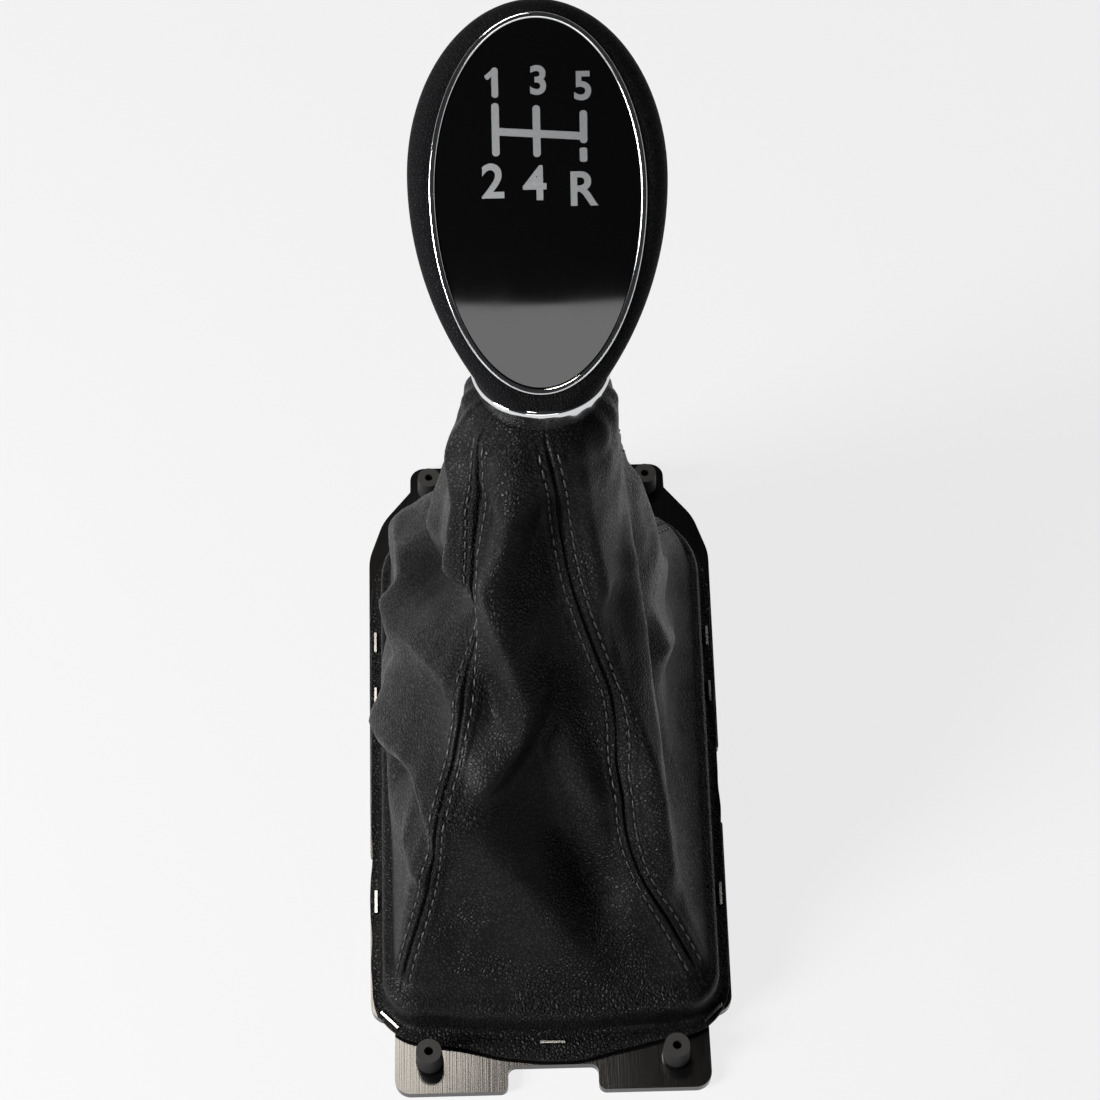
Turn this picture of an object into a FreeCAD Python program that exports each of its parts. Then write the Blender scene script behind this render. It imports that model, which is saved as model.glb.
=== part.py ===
import FreeCAD, Part
import bisect
import math
import os

os.makedirs("parts", exist_ok=True)
Vec = FreeCAD.Vector

# Driving dimensions in millimetres. The origin is the middle of the frame, on the surface it stands on.
# +Z is up, -Y is the end nearest the driver, +X is the driver's right when seated on the left.

# Main sizes
frame_length = 184.0
part_height = 201.4

# Frame: a flat ring flange with a raised rim
flange_thickness = 2.4
frame_front_width = 89.0
frame_rear_width = 94.0
front_foot_length = 19.0
rear_foot_length = 8.0
foot_width = 77.0
foot_corner_radius = 4.0
foot_notch_width = 22.0
foot_notch_depth = 6.5
foot_step_radius = 1.2
side_corner_radius = 4.5
rear_corner_length = 22.0
rear_corner_radius = 16.0
rear_foot_inset = 3.0
rear_corner_draw = 0.33
rear_corner_share = 0.55
notch_depth = 3.0
right_notch_start_y = -21.0
right_notch_end_y = 1.0
left_notch_start_y = -37.0
left_notch_end_y = -28.0
notch_corner_radius = 0.8

# Raised rim of the frame
rim_front_width = 79.0
rim_rear_width = 83.0
rim_front_setback = 18.5
rim_rear_setback = 23.0
rim_front_bow = 3.5
rim_bow_radius = 230.0
rim_front_radius = 9.0
rim_rear_radius = 20.0
rim_height = 12.2
rim_wall = 2.0
rim_edge_round = 0.7

# Screw bosses on the feet
boss_half_spacing = 30.0
boss_edge_distance = 8.0
boss_radius = 3.5
boss_hole_radius = 1.1
boss_height = 7.2
boss_draft = 0.4

# Leather
leather_thickness = 1.2
leather_gap = 0.4
hem_side_width = 2.4
hem_end_width = 6.8
hem_narrowing = 26
rim_bend = 1.4
seam_gap = 0.6
neck_radius = 17.0
neck_edge_radius = 12.9
fold_depth = 4.0
fold_width = 10.0
fold_limit = 6.5
column_pitch = 4.6

# Staples
staple_crown = 6.0
staple_wire = 0.6
staple_depth = 1.6
staple_hole_gap = 0.12
staple_side_inset = 1.9
staple_end_inset = 3.6
staple_side_places = (-42.0, 17.0, 34.0)

# Lever and knob
lever_lean = 9.0
knob_rise = 64.9
collar_height = 6.5
collar_radius = 14.2
collar_taper = 0.8
collar_lip = 1.5
collar_wall = 1.6
collar_inner_lip = 0.7
collar_edge_round = 0.5
socket_bore_radius = 6.0
socket_wall = 3.0
socket_length = 36.0
socket_stub_radius = 8.0
socket_stub_height = 14.0
socket_flange_gap = 0.1
socket_cap = 1.0
stub_floor = 1.2
neck_ring_height = 8.0
fit_gap = 0.15

# Grip body, an egg that leans back from the lever
grip_lean = 38.0
grip_half_width = 28.0
grip_widest = 40.7
grip_top = 37.8
grip_flank_radius = 75.0
grip_front_depth = 11.5
grip_back_ratio = 0.85
grip_front_round = 4.6
underside_rise = 34.0

# Face of the grip
face_half_width = 23.3
face_centre = 38.0
face_top = 37.6
face_bottom = 43.4
face_pocket_depth = 3.0
face_ring_width = 1.3
face_ring_proud = 0.5
face_ring_edge = 0.35
lens_rise = 1.5
lens_cross_radius = 175.0
lens_long_radius = 420.0
lens_swing = 15.0

# Places that follow from the main sizes
foot_front_y = -0.5 * frame_length
foot_rear_y = 0.5 * frame_length
frame_front_y = foot_front_y + front_foot_length
frame_rear_y = foot_rear_y - rear_foot_length
rim_front_y = foot_front_y + rim_front_setback
rim_rear_y = foot_rear_y - rim_rear_setback
collar_bottom = part_height - knob_rise


def rounded_corners(corners, offset=0.0):
    """Corner centres, tangent points and radii of a closed outline grown outward by offset.

    Corners run anticlockwise as (x, y, radius); a corner that turns the other way is a concave one.
    """
    count = len(corners)
    sides = []
    for i in range(count):
        x0, y0, _ = corners[i]
        x1, y1, _ = corners[(i + 1) % count]
        length = math.hypot(x1 - x0, y1 - y0)
        direction = Vec((x1 - x0) / length, (y1 - y0) / length, 0)
        outward = Vec(direction.y, -direction.x, 0)
        sides.append((Vec(x0, y0, 0) + outward * offset, direction))
    rounded = []
    for i in range(count):
        start, before = sides[i - 1]
        base, after = sides[i]
        turn = before.x * after.y - before.y * after.x
        along = ((base.x - start.x) * after.y - (base.y - start.y) * after.x) / turn
        corner = start + before * along
        side = 1.0 if turn > 0 else -1.0
        radius = corners[i][2] + offset * side
        half_turn = 0.5 * math.atan2(abs(turn), before.dot(after))
        reach = radius * math.tan(half_turn)
        inward = Vec(-before.y, before.x, 0) * side
        first = corner - before * reach
        last = corner + after * reach
        rounded.append((first, first + inward * radius, last, radius, 2.0 * half_turn * side))
    return rounded


def arc_point(rounded, share):
    """Point on one rounded corner, from its first tangent point (0) to its last (1)."""
    first, centre, _, _, turn = rounded
    angle = turn * share
    spoke = first - centre
    x = spoke.x * math.cos(angle) - spoke.y * math.sin(angle)
    y = spoke.x * math.sin(angle) + spoke.y * math.cos(angle)
    return centre + Vec(x, y, 0)


def outline_face(corners, offset=0.0):
    """Flat face inside a closed outline of straight sides and corner arcs."""
    rounded = rounded_corners(corners, offset)
    edges = []
    for i, corner in enumerate(rounded):
        first, _, last, _, _ = corner
        edges.append(Part.Arc(first, arc_point(corner, 0.5), last).toShape())
        following = rounded[(i + 1) % len(rounded)][0]
        edges.append(Part.makeLine(last, following))
    return Part.Face(Part.Wire(edges))


def slab(corners, bottom, top, offset=0.0):
    """Upright solid on an outline, from one height to another."""
    face = outline_face(corners, offset)
    face.translate(Vec(0, 0, bottom))
    return face.extrude(Vec(0, 0, top - bottom))


def write(name, shape):
    """Store one piece in its own file."""
    shape.exportStep(f"parts/{name}.step")


# Outlines of the frame in plan
def frame_side_x(y):
    """Half width of the flange, which widens a little to the rear."""
    share = (y - frame_front_y) / (frame_rear_y - frame_front_y)
    return 0.5 * (frame_front_width + (frame_rear_width - frame_front_width) * share)


def side_notch(start_y, end_y):
    """Corners of the notch in the right side, running to the rear."""
    near = frame_side_x(start_y)
    far = frame_side_x(end_y)
    corner = notch_corner_radius
    return [
        (near, start_y, corner),
        (near - notch_depth, start_y + 0.5 * notch_depth, corner),
        (far - notch_depth, end_y - 0.5 * notch_depth, corner),
        (far, end_y, corner),
    ]


half_foot = 0.5 * foot_width
half_notch = 0.5 * foot_notch_width
notch_round = 0.3 * foot_notch_depth
front_side_x = frame_side_x(frame_front_y)
rear_corner_y = frame_rear_y - rear_corner_length
rear_side_x = frame_side_x(rear_corner_y)
half_rear_foot = half_foot - rear_foot_inset
rear_corner_x = rear_side_x - rear_corner_draw * (rear_side_x - half_rear_foot)


def half_plan(notch):
    """Corners of the right half of the flange, from the front notch round to the rear one."""
    front = [
        (half_notch, foot_front_y + foot_notch_depth, notch_round),
        (half_notch, foot_front_y, notch_round),
        (half_foot, foot_front_y, foot_corner_radius),
        (half_foot, frame_front_y, foot_step_radius),
        (front_side_x, frame_front_y, side_corner_radius),
    ]
    rear = [
        (rear_side_x, rear_corner_y, rear_corner_radius),
        (rear_corner_x, rear_corner_y + rear_corner_share * rear_corner_length, rear_corner_radius),
        (half_rear_foot, frame_rear_y, foot_step_radius),
        (half_rear_foot, foot_rear_y, foot_corner_radius),
        (half_notch, foot_rear_y, notch_round),
        (half_notch, foot_rear_y - foot_notch_depth, notch_round),
    ]
    return front + notch + rear


right_half = half_plan(side_notch(right_notch_start_y, right_notch_end_y))
left_half = half_plan(side_notch(left_notch_start_y, left_notch_end_y))
flange_plan = right_half + [(-x, y, r) for x, y, r in reversed(left_half)]

rim_plan = [
    (0.0, rim_front_y - rim_front_bow, rim_bow_radius),
    (0.5 * rim_front_width, rim_front_y, rim_front_radius),
    (0.5 * rim_rear_width, rim_rear_y, rim_rear_radius),
    (-0.5 * rim_rear_width, rim_rear_y, rim_rear_radius),
    (-0.5 * rim_front_width, rim_front_y, rim_front_radius),
]

# Lever axis: it leans to the rear from the middle of the frame
lean = math.radians(lever_lean)
lever_axis = Vec(0, math.sin(lean), math.cos(lean))
lever_turn = FreeCAD.Rotation(Vec(1, 0, 0), -lever_lean)
lever_frame = FreeCAD.Placement(Vec(0, 0, 0), lever_turn)
shell_bottom = collar_bottom + collar_height

# Places of the staples, as (x, y, turn about Z)
staple_side_front = 0.5 * rim_front_width + leather_gap + leather_thickness + staple_side_inset
staple_side_rear = 0.5 * rim_rear_width + leather_gap + leather_thickness + staple_side_inset
side_slant = math.degrees(math.atan2(staple_side_rear - staple_side_front, rim_rear_y - rim_front_y))


def side_staple(y, side):
    """A staple along one long side of the flange."""
    share = (y - rim_front_y) / (rim_rear_y - rim_front_y)
    x = staple_side_front + (staple_side_rear - staple_side_front) * share
    return side * x, y, 90.0 - side * side_slant


def corner_staple(corner, side):
    """A staple set square to the seam at one corner of the rim."""
    reach = leather_gap + leather_thickness + staple_side_inset
    point = arc_point(rounded_corners(rim_plan, reach)[corner], 0.5)
    return point.x, point.y, side * 45.0


rim_nose_y = rim_front_y - 0.5 * rim_front_bow
front_staple_y = rim_nose_y - leather_gap - leather_thickness - staple_end_inset
rear_staple_y = rim_rear_y + leather_gap + leather_thickness + staple_end_inset
staple_places = [(0.0, front_staple_y, 0.0), (0.0, rear_staple_y, 0.0)]
for y_place in staple_side_places:
    staple_places.append(side_staple(y_place, 1.0))
    staple_places.append(side_staple(y_place, -1.0))
staple_places.append(corner_staple(1, 1.0))
staple_places.append(corner_staple(4, -1.0))
hem_top = flange_thickness + leather_gap + leather_thickness
staple_foot = flange_thickness - staple_depth


def staple_block(place, crown_only, growth):
    """A staple's crown, or its two legs, grown on every side for the holes that it leaves."""
    x, y, turn = place
    half = 0.5 * staple_crown
    wide = staple_wire + 2.0 * growth
    if crown_only:
        solid = Part.makeBox(staple_crown, staple_wire, staple_wire)
        solid.translate(Vec(-half, -0.5 * staple_wire, hem_top + staple_hole_gap))
    else:
        legs = []
        for left in (-half, half - staple_wire):
            leg = Part.makeBox(wide, wide, hem_top + staple_hole_gap - staple_foot + 2.0 * growth)
            leg.translate(Vec(left - growth, -0.5 * wide, staple_foot - growth))
            legs.append(leg)
        solid = Part.makeCompound(legs)
    solid.rotate(Vec(0, 0, 0), Vec(0, 0, 1), turn)
    solid.translate(Vec(x, y, 0))
    return solid


staple_holes = []
for place in staple_places:
    staple_holes.extend(staple_block(place, False, staple_hole_gap).Solids)


# Frame: flange, rim and bosses moulded in one
def base_frame():
    flange = slab(flange_plan, 0.0, flange_thickness)
    rim = slab(rim_plan, 0.0, rim_height)
    window = slab(rim_plan, -1.0, rim_height + 1.0, -rim_wall)
    rim = rim.cut(window)
    top_edges = []
    for edge in rim.Edges:
        box = edge.BoundBox
        if box.ZMin > rim_height - 0.01:
            top_edges.append(edge)
    rim = rim.makeFillet(rim_edge_round, top_edges)
    body = flange.cut(window).fuse(rim)
    boss_top = flange_thickness + boss_height
    for side in (-1.0, 1.0):
        for y in (foot_front_y + boss_edge_distance, foot_rear_y - boss_edge_distance):
            place = Vec(side * boss_half_spacing, y, 0.5 * flange_thickness)
            rise = boss_top - place.z
            boss = Part.makeCone(boss_radius, boss_radius - boss_draft, rise, place)
            hole_floor = Vec(place.x, place.y, 0.5 * flange_thickness)
            hole = Part.makeCylinder(boss_hole_radius, boss_top, hole_floor)
            body = body.fuse(boss).cut(hole)
    return body.cut(Part.makeCompound(staple_holes)).removeSplitter()


write("base_frame", base_frame())


# Staples: bent wire, one group of separate solids
def staple(place):
    crown = staple_block(place, True, 0.0)
    for leg in staple_block(place, False, 0.0).Solids:
        crown = crown.fuse(leg)
    return crown.removeSplitter()


write("staples", Part.makeCompound([staple(place) for place in staple_places]))

# Leather: one skin from the hem on the flange, over the rim and up to the neck
skirt = leather_gap + leather_thickness
rim_top_s = rim_height + skirt
neck_top_s = collar_bottom - leather_gap
skin_rise = neck_top_s - rim_top_s
land_offset = skirt - 1.8 * rim_bend


def rim_point(stop, offset):
    """Point on the rim's outline grown by offset.

    The arc of each corner takes one stop, and the side that follows it the next one.
    """
    rounded = rounded_corners(rim_plan, offset)
    index = int(stop // 2) % len(rounded)
    share = stop % 2
    if share <= 1.0:
        return arc_point(rounded[index], share)
    last = rounded[index][2]
    following = rounded[(index + 1) % len(rounded)][0]
    return last + (following - last) * (share - 1.0)


# Distance of the rim's land from the middle, by direction
land_steps = 1000
land_angles = []
land_reaches = []
for i in range(land_steps + 1):
    point = rim_point(2.0 * len(rim_plan) * i / land_steps, land_offset)
    angle = math.atan2(point.y, point.x)
    if land_angles and angle < land_angles[-1]:
        angle += 2.0 * math.pi
    land_angles.append(angle)
    land_reaches.append(math.hypot(point.x, point.y))


def between(places, values, place):
    """Value at a place between two entries of a rising list."""
    index = min(max(bisect.bisect(places, place), 1), len(places) - 1)
    share = (place - places[index - 1]) / (places[index] - places[index - 1])
    return values[index - 1] + (values[index] - values[index - 1]) * share


def land_reach(angle):
    turned = (angle - land_angles[0]) % (2.0 * math.pi) + land_angles[0]
    return between(land_angles, land_reaches, turned)


def curve(points, share):
    """Smooth curve through a few (share, value) points."""
    last = len(points) - 1
    index = 0
    while index < last - 1 and share > points[index + 1][0]:
        index += 1
    x0, y0 = points[index]
    x1, y1 = points[index + 1]
    before = points[max(index - 1, 0)]
    after = points[min(index + 2, last)]
    slope0 = (y1 - before[1]) / (x1 - before[0])
    slope1 = (after[1] - y0) / (after[0] - x0)
    width = x1 - x0
    t = (share - x0) / width
    hermite = (2 * t**3 - 3 * t**2 + 1) * y0 + (-2 * t**3 + 3 * t**2) * y1
    return hermite + width * ((t**3 - 2 * t**2 + t) * slope0 + (t**3 - t**2) * slope1)


# Fullness of the skin on each side, from 1 at the rim to 0 at the neck
front_fullness = [(0, 1), (0.09, 0.86), (0.18, 0.72), (0.39, 0.52), (0.52, 0.36), (0.76, 0.17), (1, 0)]
rear_fullness = [(0, 1), (0.09, 0.87), (0.18, 0.76), (0.39, 0.54), (0.52, 0.41), (0.76, 0.16), (1, 0)]
right_fullness = [(0, 1), (0.06, 0.76), (0.14, 0.62), (0.26, 0.52), (0.5, 0.36), (0.76, 0.14), (1, 0)]
left_fullness = [(0, 1), (0.1, 1.06), (0.2, 1.04), (0.3, 0.86), (0.42, 0.5), (0.62, 0.3), (1, 0)]

# Degrees that the seams are carried round the lever, by share of the rise
neck_twist = [(0, 0), (0.1, -2), (0.2, -4), (0.35, -3), (0.48, -2),
              (0.58, -7), (0.72, -14), (0.9, -19), (1, -25)]

# Folds as (height, width to the left, width to the right, line), in shares of the fold depth and width.
# The line runs through places of (degrees round the lever, share of the rise); a negative height is a hollow.
folds = [
    (0.9, 0.7, 0.9, [(-122, 0.98), (-97, 0.93), (-104, 0.82), (-115, 0.72)]),
    (1.3, 1.0, 1.3, [(-115, 0.72), (-95, 0.61), (-94, 0.54), (-89, 0.45)]),
    (-0.8, 0.9, 0.9, [(-122, 0.84), (-124, 0.72), (-112, 0.6)]),
    (-1.0, 1.3, 1.3, [(-84, 0.82), (-80, 0.62), (-76, 0.48)]),
    (-0.9, 0.9, 0.9, [(-118, 0.52), (-106, 0.47), (-98, 0.42)]),
    (1.4, 1.5, 0.9, [(-113, 0.32), (-106, 0.29), (-98, 0.24), (-90, 0.17), (-84, 0.09)]),
    (-1.2, 1.0, 0.9, [(-92, 0.38), (-85, 0.24), (-82, 0.09)]),
    (1.0, 0.7, 1.3, [(-70, 0.3), (-74, 0.24), (-79, 0.14), (-82, 0.06)]),
    (-0.6, 0.7, 0.7, [(-108, 0.07), (-97, 0.05), (-82, 0.04), (-70, 0.05)]),
    (-1.6, 1.2, 1.2, [(152, 0.42), (-160, 0.53), (-132, 0.57)]),
    (1.2, 0.9, 1.0, [(165, 0.3), (-164, 0.4), (-128, 0.5)]),
    (0.8, 0.8, 0.8, [(-166, 0.16), (-141, 0.28), (-126, 0.33)]),
    (-1.0, 0.8, 0.8, [(-146, 0.15), (-132, 0.23), (-120, 0.27)]),
    (0.6, 0.7, 0.7, [(-126, 0.2), (-119, 0.22)]),
    (1.2, 1.2, 0.8, [(-30, 0.64), (-50, 0.44), (-60, 0.28), (-62, 0.18)]),
    (-1.1, 1.3, 1.3, [(-14, 0.58), (-30, 0.36), (-40, 0.16)]),
    (-0.7, 0.8, 0.8, [(-60, 0.62), (-66, 0.48), (-70, 0.36)]),
    (0.7, 1.1, 0.8, [(-8, 0.3), (14, 0.2), (30, 0.1)]),
    (0.7, 0.8, 0.8, [(-166, 0.9), (-148, 0.8), (-146, 0.66)]),
    (0.9, 1.0, 1.0, [(58, 0.66), (84, 0.5), (96, 0.3), (88, 0.14)]),
    (-1.1, 1.1, 1.1, [(62, 0.34), (86, 0.24), (122, 0.12)]),
    (-0.9, 1.1, 1.1, [(104, 0.62), (118, 0.4), (112, 0.26)]),
    (0.9, 0.9, 1.2, [(36, 0.6), (24, 0.44), (40, 0.24)]),
    (-0.9, 1.0, 1.0, [(50, 0.5), (50, 0.3), (62, 0.12)]),
    (0.8, 0.9, 0.9, [(150, 0.34), (132, 0.24), (128, 0.1)]),
    (-0.8, 1.0, 1.0, [(172, 0.24), (150, 0.16), (140, 0.08)]),
    (0.7, 0.9, 0.9, [(140, 0.7), (152, 0.56), (172, 0.48)]),
]
crest_share = 0.14


def half_turned(degrees):
    """The same direction between -180 and 180 degrees."""
    return (degrees + 180.0) % 360.0 - 180.0


def fold_height(degrees, share, reach):
    """Height of all folds at one place on the skin."""
    total = 0.0
    for height, left, right, line in folds:
        nearest = fold_width * max(left, right)
        width = nearest
        for (a0, s0), (a1, s1) in zip(line, line[1:]):
            px = math.radians(half_turned(degrees - a0)) * reach
            pz = (share - s0) * skin_rise
            qx = math.radians(half_turned(a1 - a0)) * reach
            qz = (s1 - s0) * skin_rise
            t = min(1.0, max(0.0, (px * qx + pz * qz) / (qx * qx + qz * qz)))
            far = math.hypot(px - t * qx, pz - t * qz)
            if far < nearest:
                nearest = far
                lean_left = (qx * pz - qz * px) / (math.hypot(qx, qz) * max(far, 0.01))
                width = fold_width * (right + (left - right) * (0.5 + 0.5 * lean_left))
        crest = crest_share * width
        away = (math.sqrt(nearest**2 + crest**2) - crest) / width
        if away < 1.0:
            total += fold_depth * height * (1.0 - away) ** 2 * (1.0 + away)
    settle = min(1.0, share / 0.1) * min(1.0, (1.0 - share) / 0.12)
    return fold_limit * math.tanh(total / fold_limit) * settle


def skin_point(angle, share):
    """Point on the outside of the skin above one direction at the rim, from the rim (0) to the neck (1)."""
    place = angle + math.radians(curve(neck_twist, share))
    across = math.cos(place) ** 2
    along = math.sin(place) ** 2
    side = right_fullness if math.cos(place) > 0 else left_fullness
    end = rear_fullness if math.sin(place) > 0 else front_fullness
    fullness = across * curve(side, share) + along * curve(end, share)
    tuck = (neck_radius - neck_edge_radius) * max(0.0, (share - 0.95) / 0.05) ** 2
    reach = neck_radius - tuck + fullness * (land_reach(place) - neck_radius)
    reach += fold_height(math.degrees(place), share, max(reach, neck_radius))
    tilt = lean * share
    x = reach * math.cos(place)
    y = reach * math.sin(place)
    middle = lever_axis * (rim_top_s + skin_rise * share)
    return Vec(x, middle.y + y * math.cos(tilt), middle.z - y * math.sin(tilt))


# Rows of the wrapped part from the cut edge on the flange to the top of the rim,
# as (share of the hem's width, offset from the skirt, height)
wrap_rows = [
    (1.0, 0.5 * rim_bend, hem_top),
    (0.66, 0.6 * rim_bend, hem_top),
    (0.33, 0.7 * rim_bend, hem_top),
    (0.0, 0.8 * rim_bend, hem_top + 0.07 * rim_bend),
    (0.0, 0.2 * rim_bend, hem_top + 0.4 * rim_bend),
    (0.0, 0.0, hem_top + 1.2 * rim_bend),
    (0.0, 0.0, 0.5 * (hem_top + rim_height)),
    (0.0, 0.0, rim_height - 1.2 * rim_bend),
    (0.0, -0.1 * rim_bend, rim_height + 0.07 * rim_bend),
    (0.0, -0.6 * rim_bend, rim_height + 0.75 * skirt),
    (0.0, -1.8 * rim_bend, rim_top_s),
]
skin_row_count = 26
skin_shares = [i / skin_row_count for i in range(1, skin_row_count)]
skin_shares = [0.45 * skin_shares[0]] + skin_shares + [0.5 * (1.0 + skin_shares[-1]), 1.0]


def leather_point(stop, row):
    """Point on the outside of the leather at one stop round the rim, on any row."""
    if len(row) == 1:
        base = rim_point(stop, land_offset)
        return skin_point(math.atan2(base.y, base.x), row[0])
    widen, shift, height = row
    base = rim_point(stop, skirt)
    angle = math.atan2(base.y, base.x)
    hem = hem_side_width + (hem_end_width - hem_side_width) * math.sin(angle) ** hem_narrowing
    moved = rim_point(stop, skirt + shift + hem * widen)
    return Vec(moved.x, moved.y, height)


def panel_stops(first, last):
    """Stops of one panel's columns, evenly spaced along the rim from seam to seam."""
    steps = 200
    fine = [first + (last - first) * i / steps for i in range(steps + 1)]
    lengths = [0.0]
    for before, after in zip(fine, fine[1:]):
        lengths.append(lengths[-1] + (rim_point(after, 0.0) - rim_point(before, 0.0)).Length)
    count = round(lengths[-1] / column_pitch)
    return [between(lengths, fine, lengths[-1] * i / count) for i in range(count + 1)]


def grids(first, last):
    """Outside and inside of one panel as rows of points, drawn back by half the gap at each seam."""
    stops = panel_stops(first, last)
    rows = wrap_rows + [(share,) for share in skin_shares]
    nudge = 0.01
    outside = []
    inside = []
    for i, row in enumerate(rows):
        lower = rows[max(i - 1, 0)]
        upper = rows[min(i + 1, len(rows) - 1)]
        outer_row = []
        inner_row = []
        for j, stop in enumerate(stops):
            point = leather_point(stop, row)
            along = leather_point(stop + nudge, row) - leather_point(stop - nudge, row)
            up = leather_point(stop, upper) - leather_point(stop, lower)
            along.normalize()
            normal = along.cross(up).normalize()
            draw = 0.5 * seam_gap * (1.0 - 2.0 * j / (len(stops) - 1))
            outer_row.append(point + along * draw)
            inner_row.append(point + along * draw - normal * leather_thickness)
        outside.append(outer_row)
        inside.append(inner_row)
    return outside, inside


def skin_surface(rows):
    surface = Part.BSplineSurface()
    surface.interpolate(rows)
    return surface


def panel(first, last):
    """One leather panel as a closed solid between its outside and its inside."""
    outside, inside = grids(first, last)
    outer = skin_surface(outside)
    inner = skin_surface(inside)
    faces = [outer.toShape(), inner.toShape()]
    u0, u1, v0, v1 = outer.bounds()
    a0, a1, b0, b1 = inner.bounds()
    pairs = [
        (outer.uIso(u0), inner.uIso(a0)),
        (outer.uIso(u1), inner.uIso(a1)),
        (outer.vIso(v0), inner.vIso(b0)),
        (outer.vIso(v1), inner.vIso(b1)),
    ]
    for one, other in pairs:
        faces.append(Part.makeRuledSurface(one.toShape(), other.toShape()))
    shell = Part.makeShell(faces)
    shell.sewShape()
    solid = Part.makeSolid(shell)
    if solid.Volume < 0:
        solid.reverse()
    return solid.cut(Part.makeCompound(staple_holes))


# Each panel runs from the middle of one corner's arc to the middle of another's
front_left_seam = 8.5
front_right_seam = 2.5
rear_right_seam = 4.5
rear_left_seam = 6.5
whole_turn = 2.0 * len(rim_plan)
write("gaiter_front_panel", panel(front_left_seam, front_right_seam + whole_turn))
write("gaiter_right_panel", panel(front_right_seam, rear_right_seam))
write("gaiter_rear_panel", panel(rear_right_seam, rear_left_seam))
write("gaiter_left_panel", panel(rear_left_seam, front_left_seam))

# Grip body: built in its own frame, X across, Z along the egg and -Y out of the face
grip_turn = FreeCAD.Rotation(Vec(1, 0, 0), -lever_lean - grip_lean)
grip_frame = FreeCAD.Placement(lever_axis * shell_bottom, grip_turn)
grip_tail = 1.15 * grip_front_depth
flank_centre_x = grip_half_width - grip_flank_radius


def upper_ellipse(half_width, height, centre_z):
    """Upper half of an oval, from the right to the left."""
    oval = Part.Ellipse(Vec(0, 0, 0), max(height, half_width), min(height, half_width))
    arc = Part.Arc(oval, -0.5 * math.pi, 0.5 * math.pi).toShape()
    arc.rotate(Vec(0, 0, 0), Vec(0, 0, 1), 90)
    arc.rotate(Vec(0, 0, 0), Vec(1, 0, 0), 90)
    arc.translate(Vec(0, 0, centre_z))
    return arc


def mirrored(shape):
    return shape.mirror(Vec(0, 0, 0), Vec(1, 0, 0))


def flank_arc(inset):
    """Right flank of the egg, from its tail up to its widest place."""
    low = grip_widest + grip_tail
    radius = grip_flank_radius - inset
    points = []
    for below in (low, 0.5 * low, 0.0):
        x = flank_centre_x + math.sqrt(radius**2 - below**2)
        points.append(Vec(x, 0, grip_widest - below))
    return Part.Arc(*points).toShape(), points[0]


def grip_wire(inset, depth):
    """Outline of the egg, drawn in by inset, at one depth toward the face."""
    flank, tail = flank_arc(inset)
    crown = upper_ellipse(grip_half_width - inset, grip_top - inset, grip_widest)
    base = Part.makeLine(Vec(-tail.x, 0, tail.z), tail)
    wire = Part.Wire(Part.sortEdges([flank, crown, mirrored(flank), base])[0])
    wire.translate(Vec(0, -depth, 0))
    return wire


def oval_face(half_width, top, bottom, centre_z, y):
    """Egg-shaped flat face made of two half ovals."""
    upper = upper_ellipse(half_width, top, 0)
    lower = upper_ellipse(half_width, bottom, 0)
    lower.rotate(Vec(0, 0, 0), Vec(0, 1, 0), 180)
    face = Part.Face(Part.Wire([upper, lower]))
    face.translate(Vec(0, y, centre_z))
    return face


face_plane = -grip_front_depth
pocket_floor = face_plane + face_pocket_depth


def oval_solid(inset, back, front):
    """Egg-shaped plate inset from the outside of the trim ring, between two depths."""
    width = face_half_width - inset
    face = oval_face(width, face_top - inset, face_bottom - inset, face_centre, back)
    return face.extrude(Vec(0, front - back, 0))


def grip_front():
    """Front half of the grip: a straight band, then an edge rolled over to the flat face."""
    straight = grip_front_depth - grip_front_round
    band = Part.Face(grip_wire(0.0, 0.0)).extrude(Vec(0, -straight, 0))
    sections = []
    for degrees in (0, 30, 60, 90):
        roll = math.radians(degrees)
        inset = grip_front_round * (1.0 - math.cos(roll))
        sections.append(grip_wire(inset, straight + grip_front_round * math.sin(roll)))
    return band.fuse(Part.makeLoft(sections, True))


def grip_back():
    """Back half of the grip: half of a turned egg, flattened to its depth."""
    flank, tail = flank_arc(0.0)
    oval = Part.Ellipse(Vec(0, 0, 0), grip_top, grip_half_width)
    quarter = Part.Arc(oval, -0.5 * math.pi, 0.0).toShape()
    quarter.rotate(Vec(0, 0, 0), Vec(0, 0, 1), 90)
    quarter.rotate(Vec(0, 0, 0), Vec(1, 0, 0), 90)
    quarter.translate(Vec(0, 0, grip_widest))
    axis = Part.makeLine(Vec(0, 0, grip_widest + grip_top), Vec(0, 0, tail.z))
    foot = Part.makeLine(Vec(0, 0, tail.z), tail)
    half = Part.Face(Part.Wire(Part.sortEdges([flank, quarter, axis, foot])[0]))
    egg = half.revolve(Vec(0, 0, 0), Vec(0, 0, 1), 180)
    flatten = FreeCAD.Matrix()
    flatten.scale(1.0, grip_back_ratio, 1.0)
    return egg.transformGeometry(flatten)


def grip_underside():
    """Space under the grip: flat over the collar, then sweeping up to the back of the egg."""
    seat = collar_radius + collar_taper
    rim = 2.0 * grip_half_width
    start = Vec(seat, 0, shell_bottom)
    middle = Vec(seat + 0.45 * (rim - seat), 0, shell_bottom + 0.22 * underside_rise)
    end = Vec(rim, 0, shell_bottom + underside_rise)
    edges = [
        Part.makeLine(Vec(0, 0, 0), Vec(0, 0, shell_bottom)),
        Part.makeLine(Vec(0, 0, shell_bottom), start),
        Part.Arc(start, middle, end).toShape(),
        Part.makeLine(end, Vec(rim, 0, 0)),
        Part.makeLine(Vec(rim, 0, 0), Vec(0, 0, 0)),
    ]
    space = Part.Face(Part.Wire(edges)).revolve(Vec(0, 0, 0), Vec(0, 0, 1), 360)
    space.Placement = lever_frame
    return space


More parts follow.
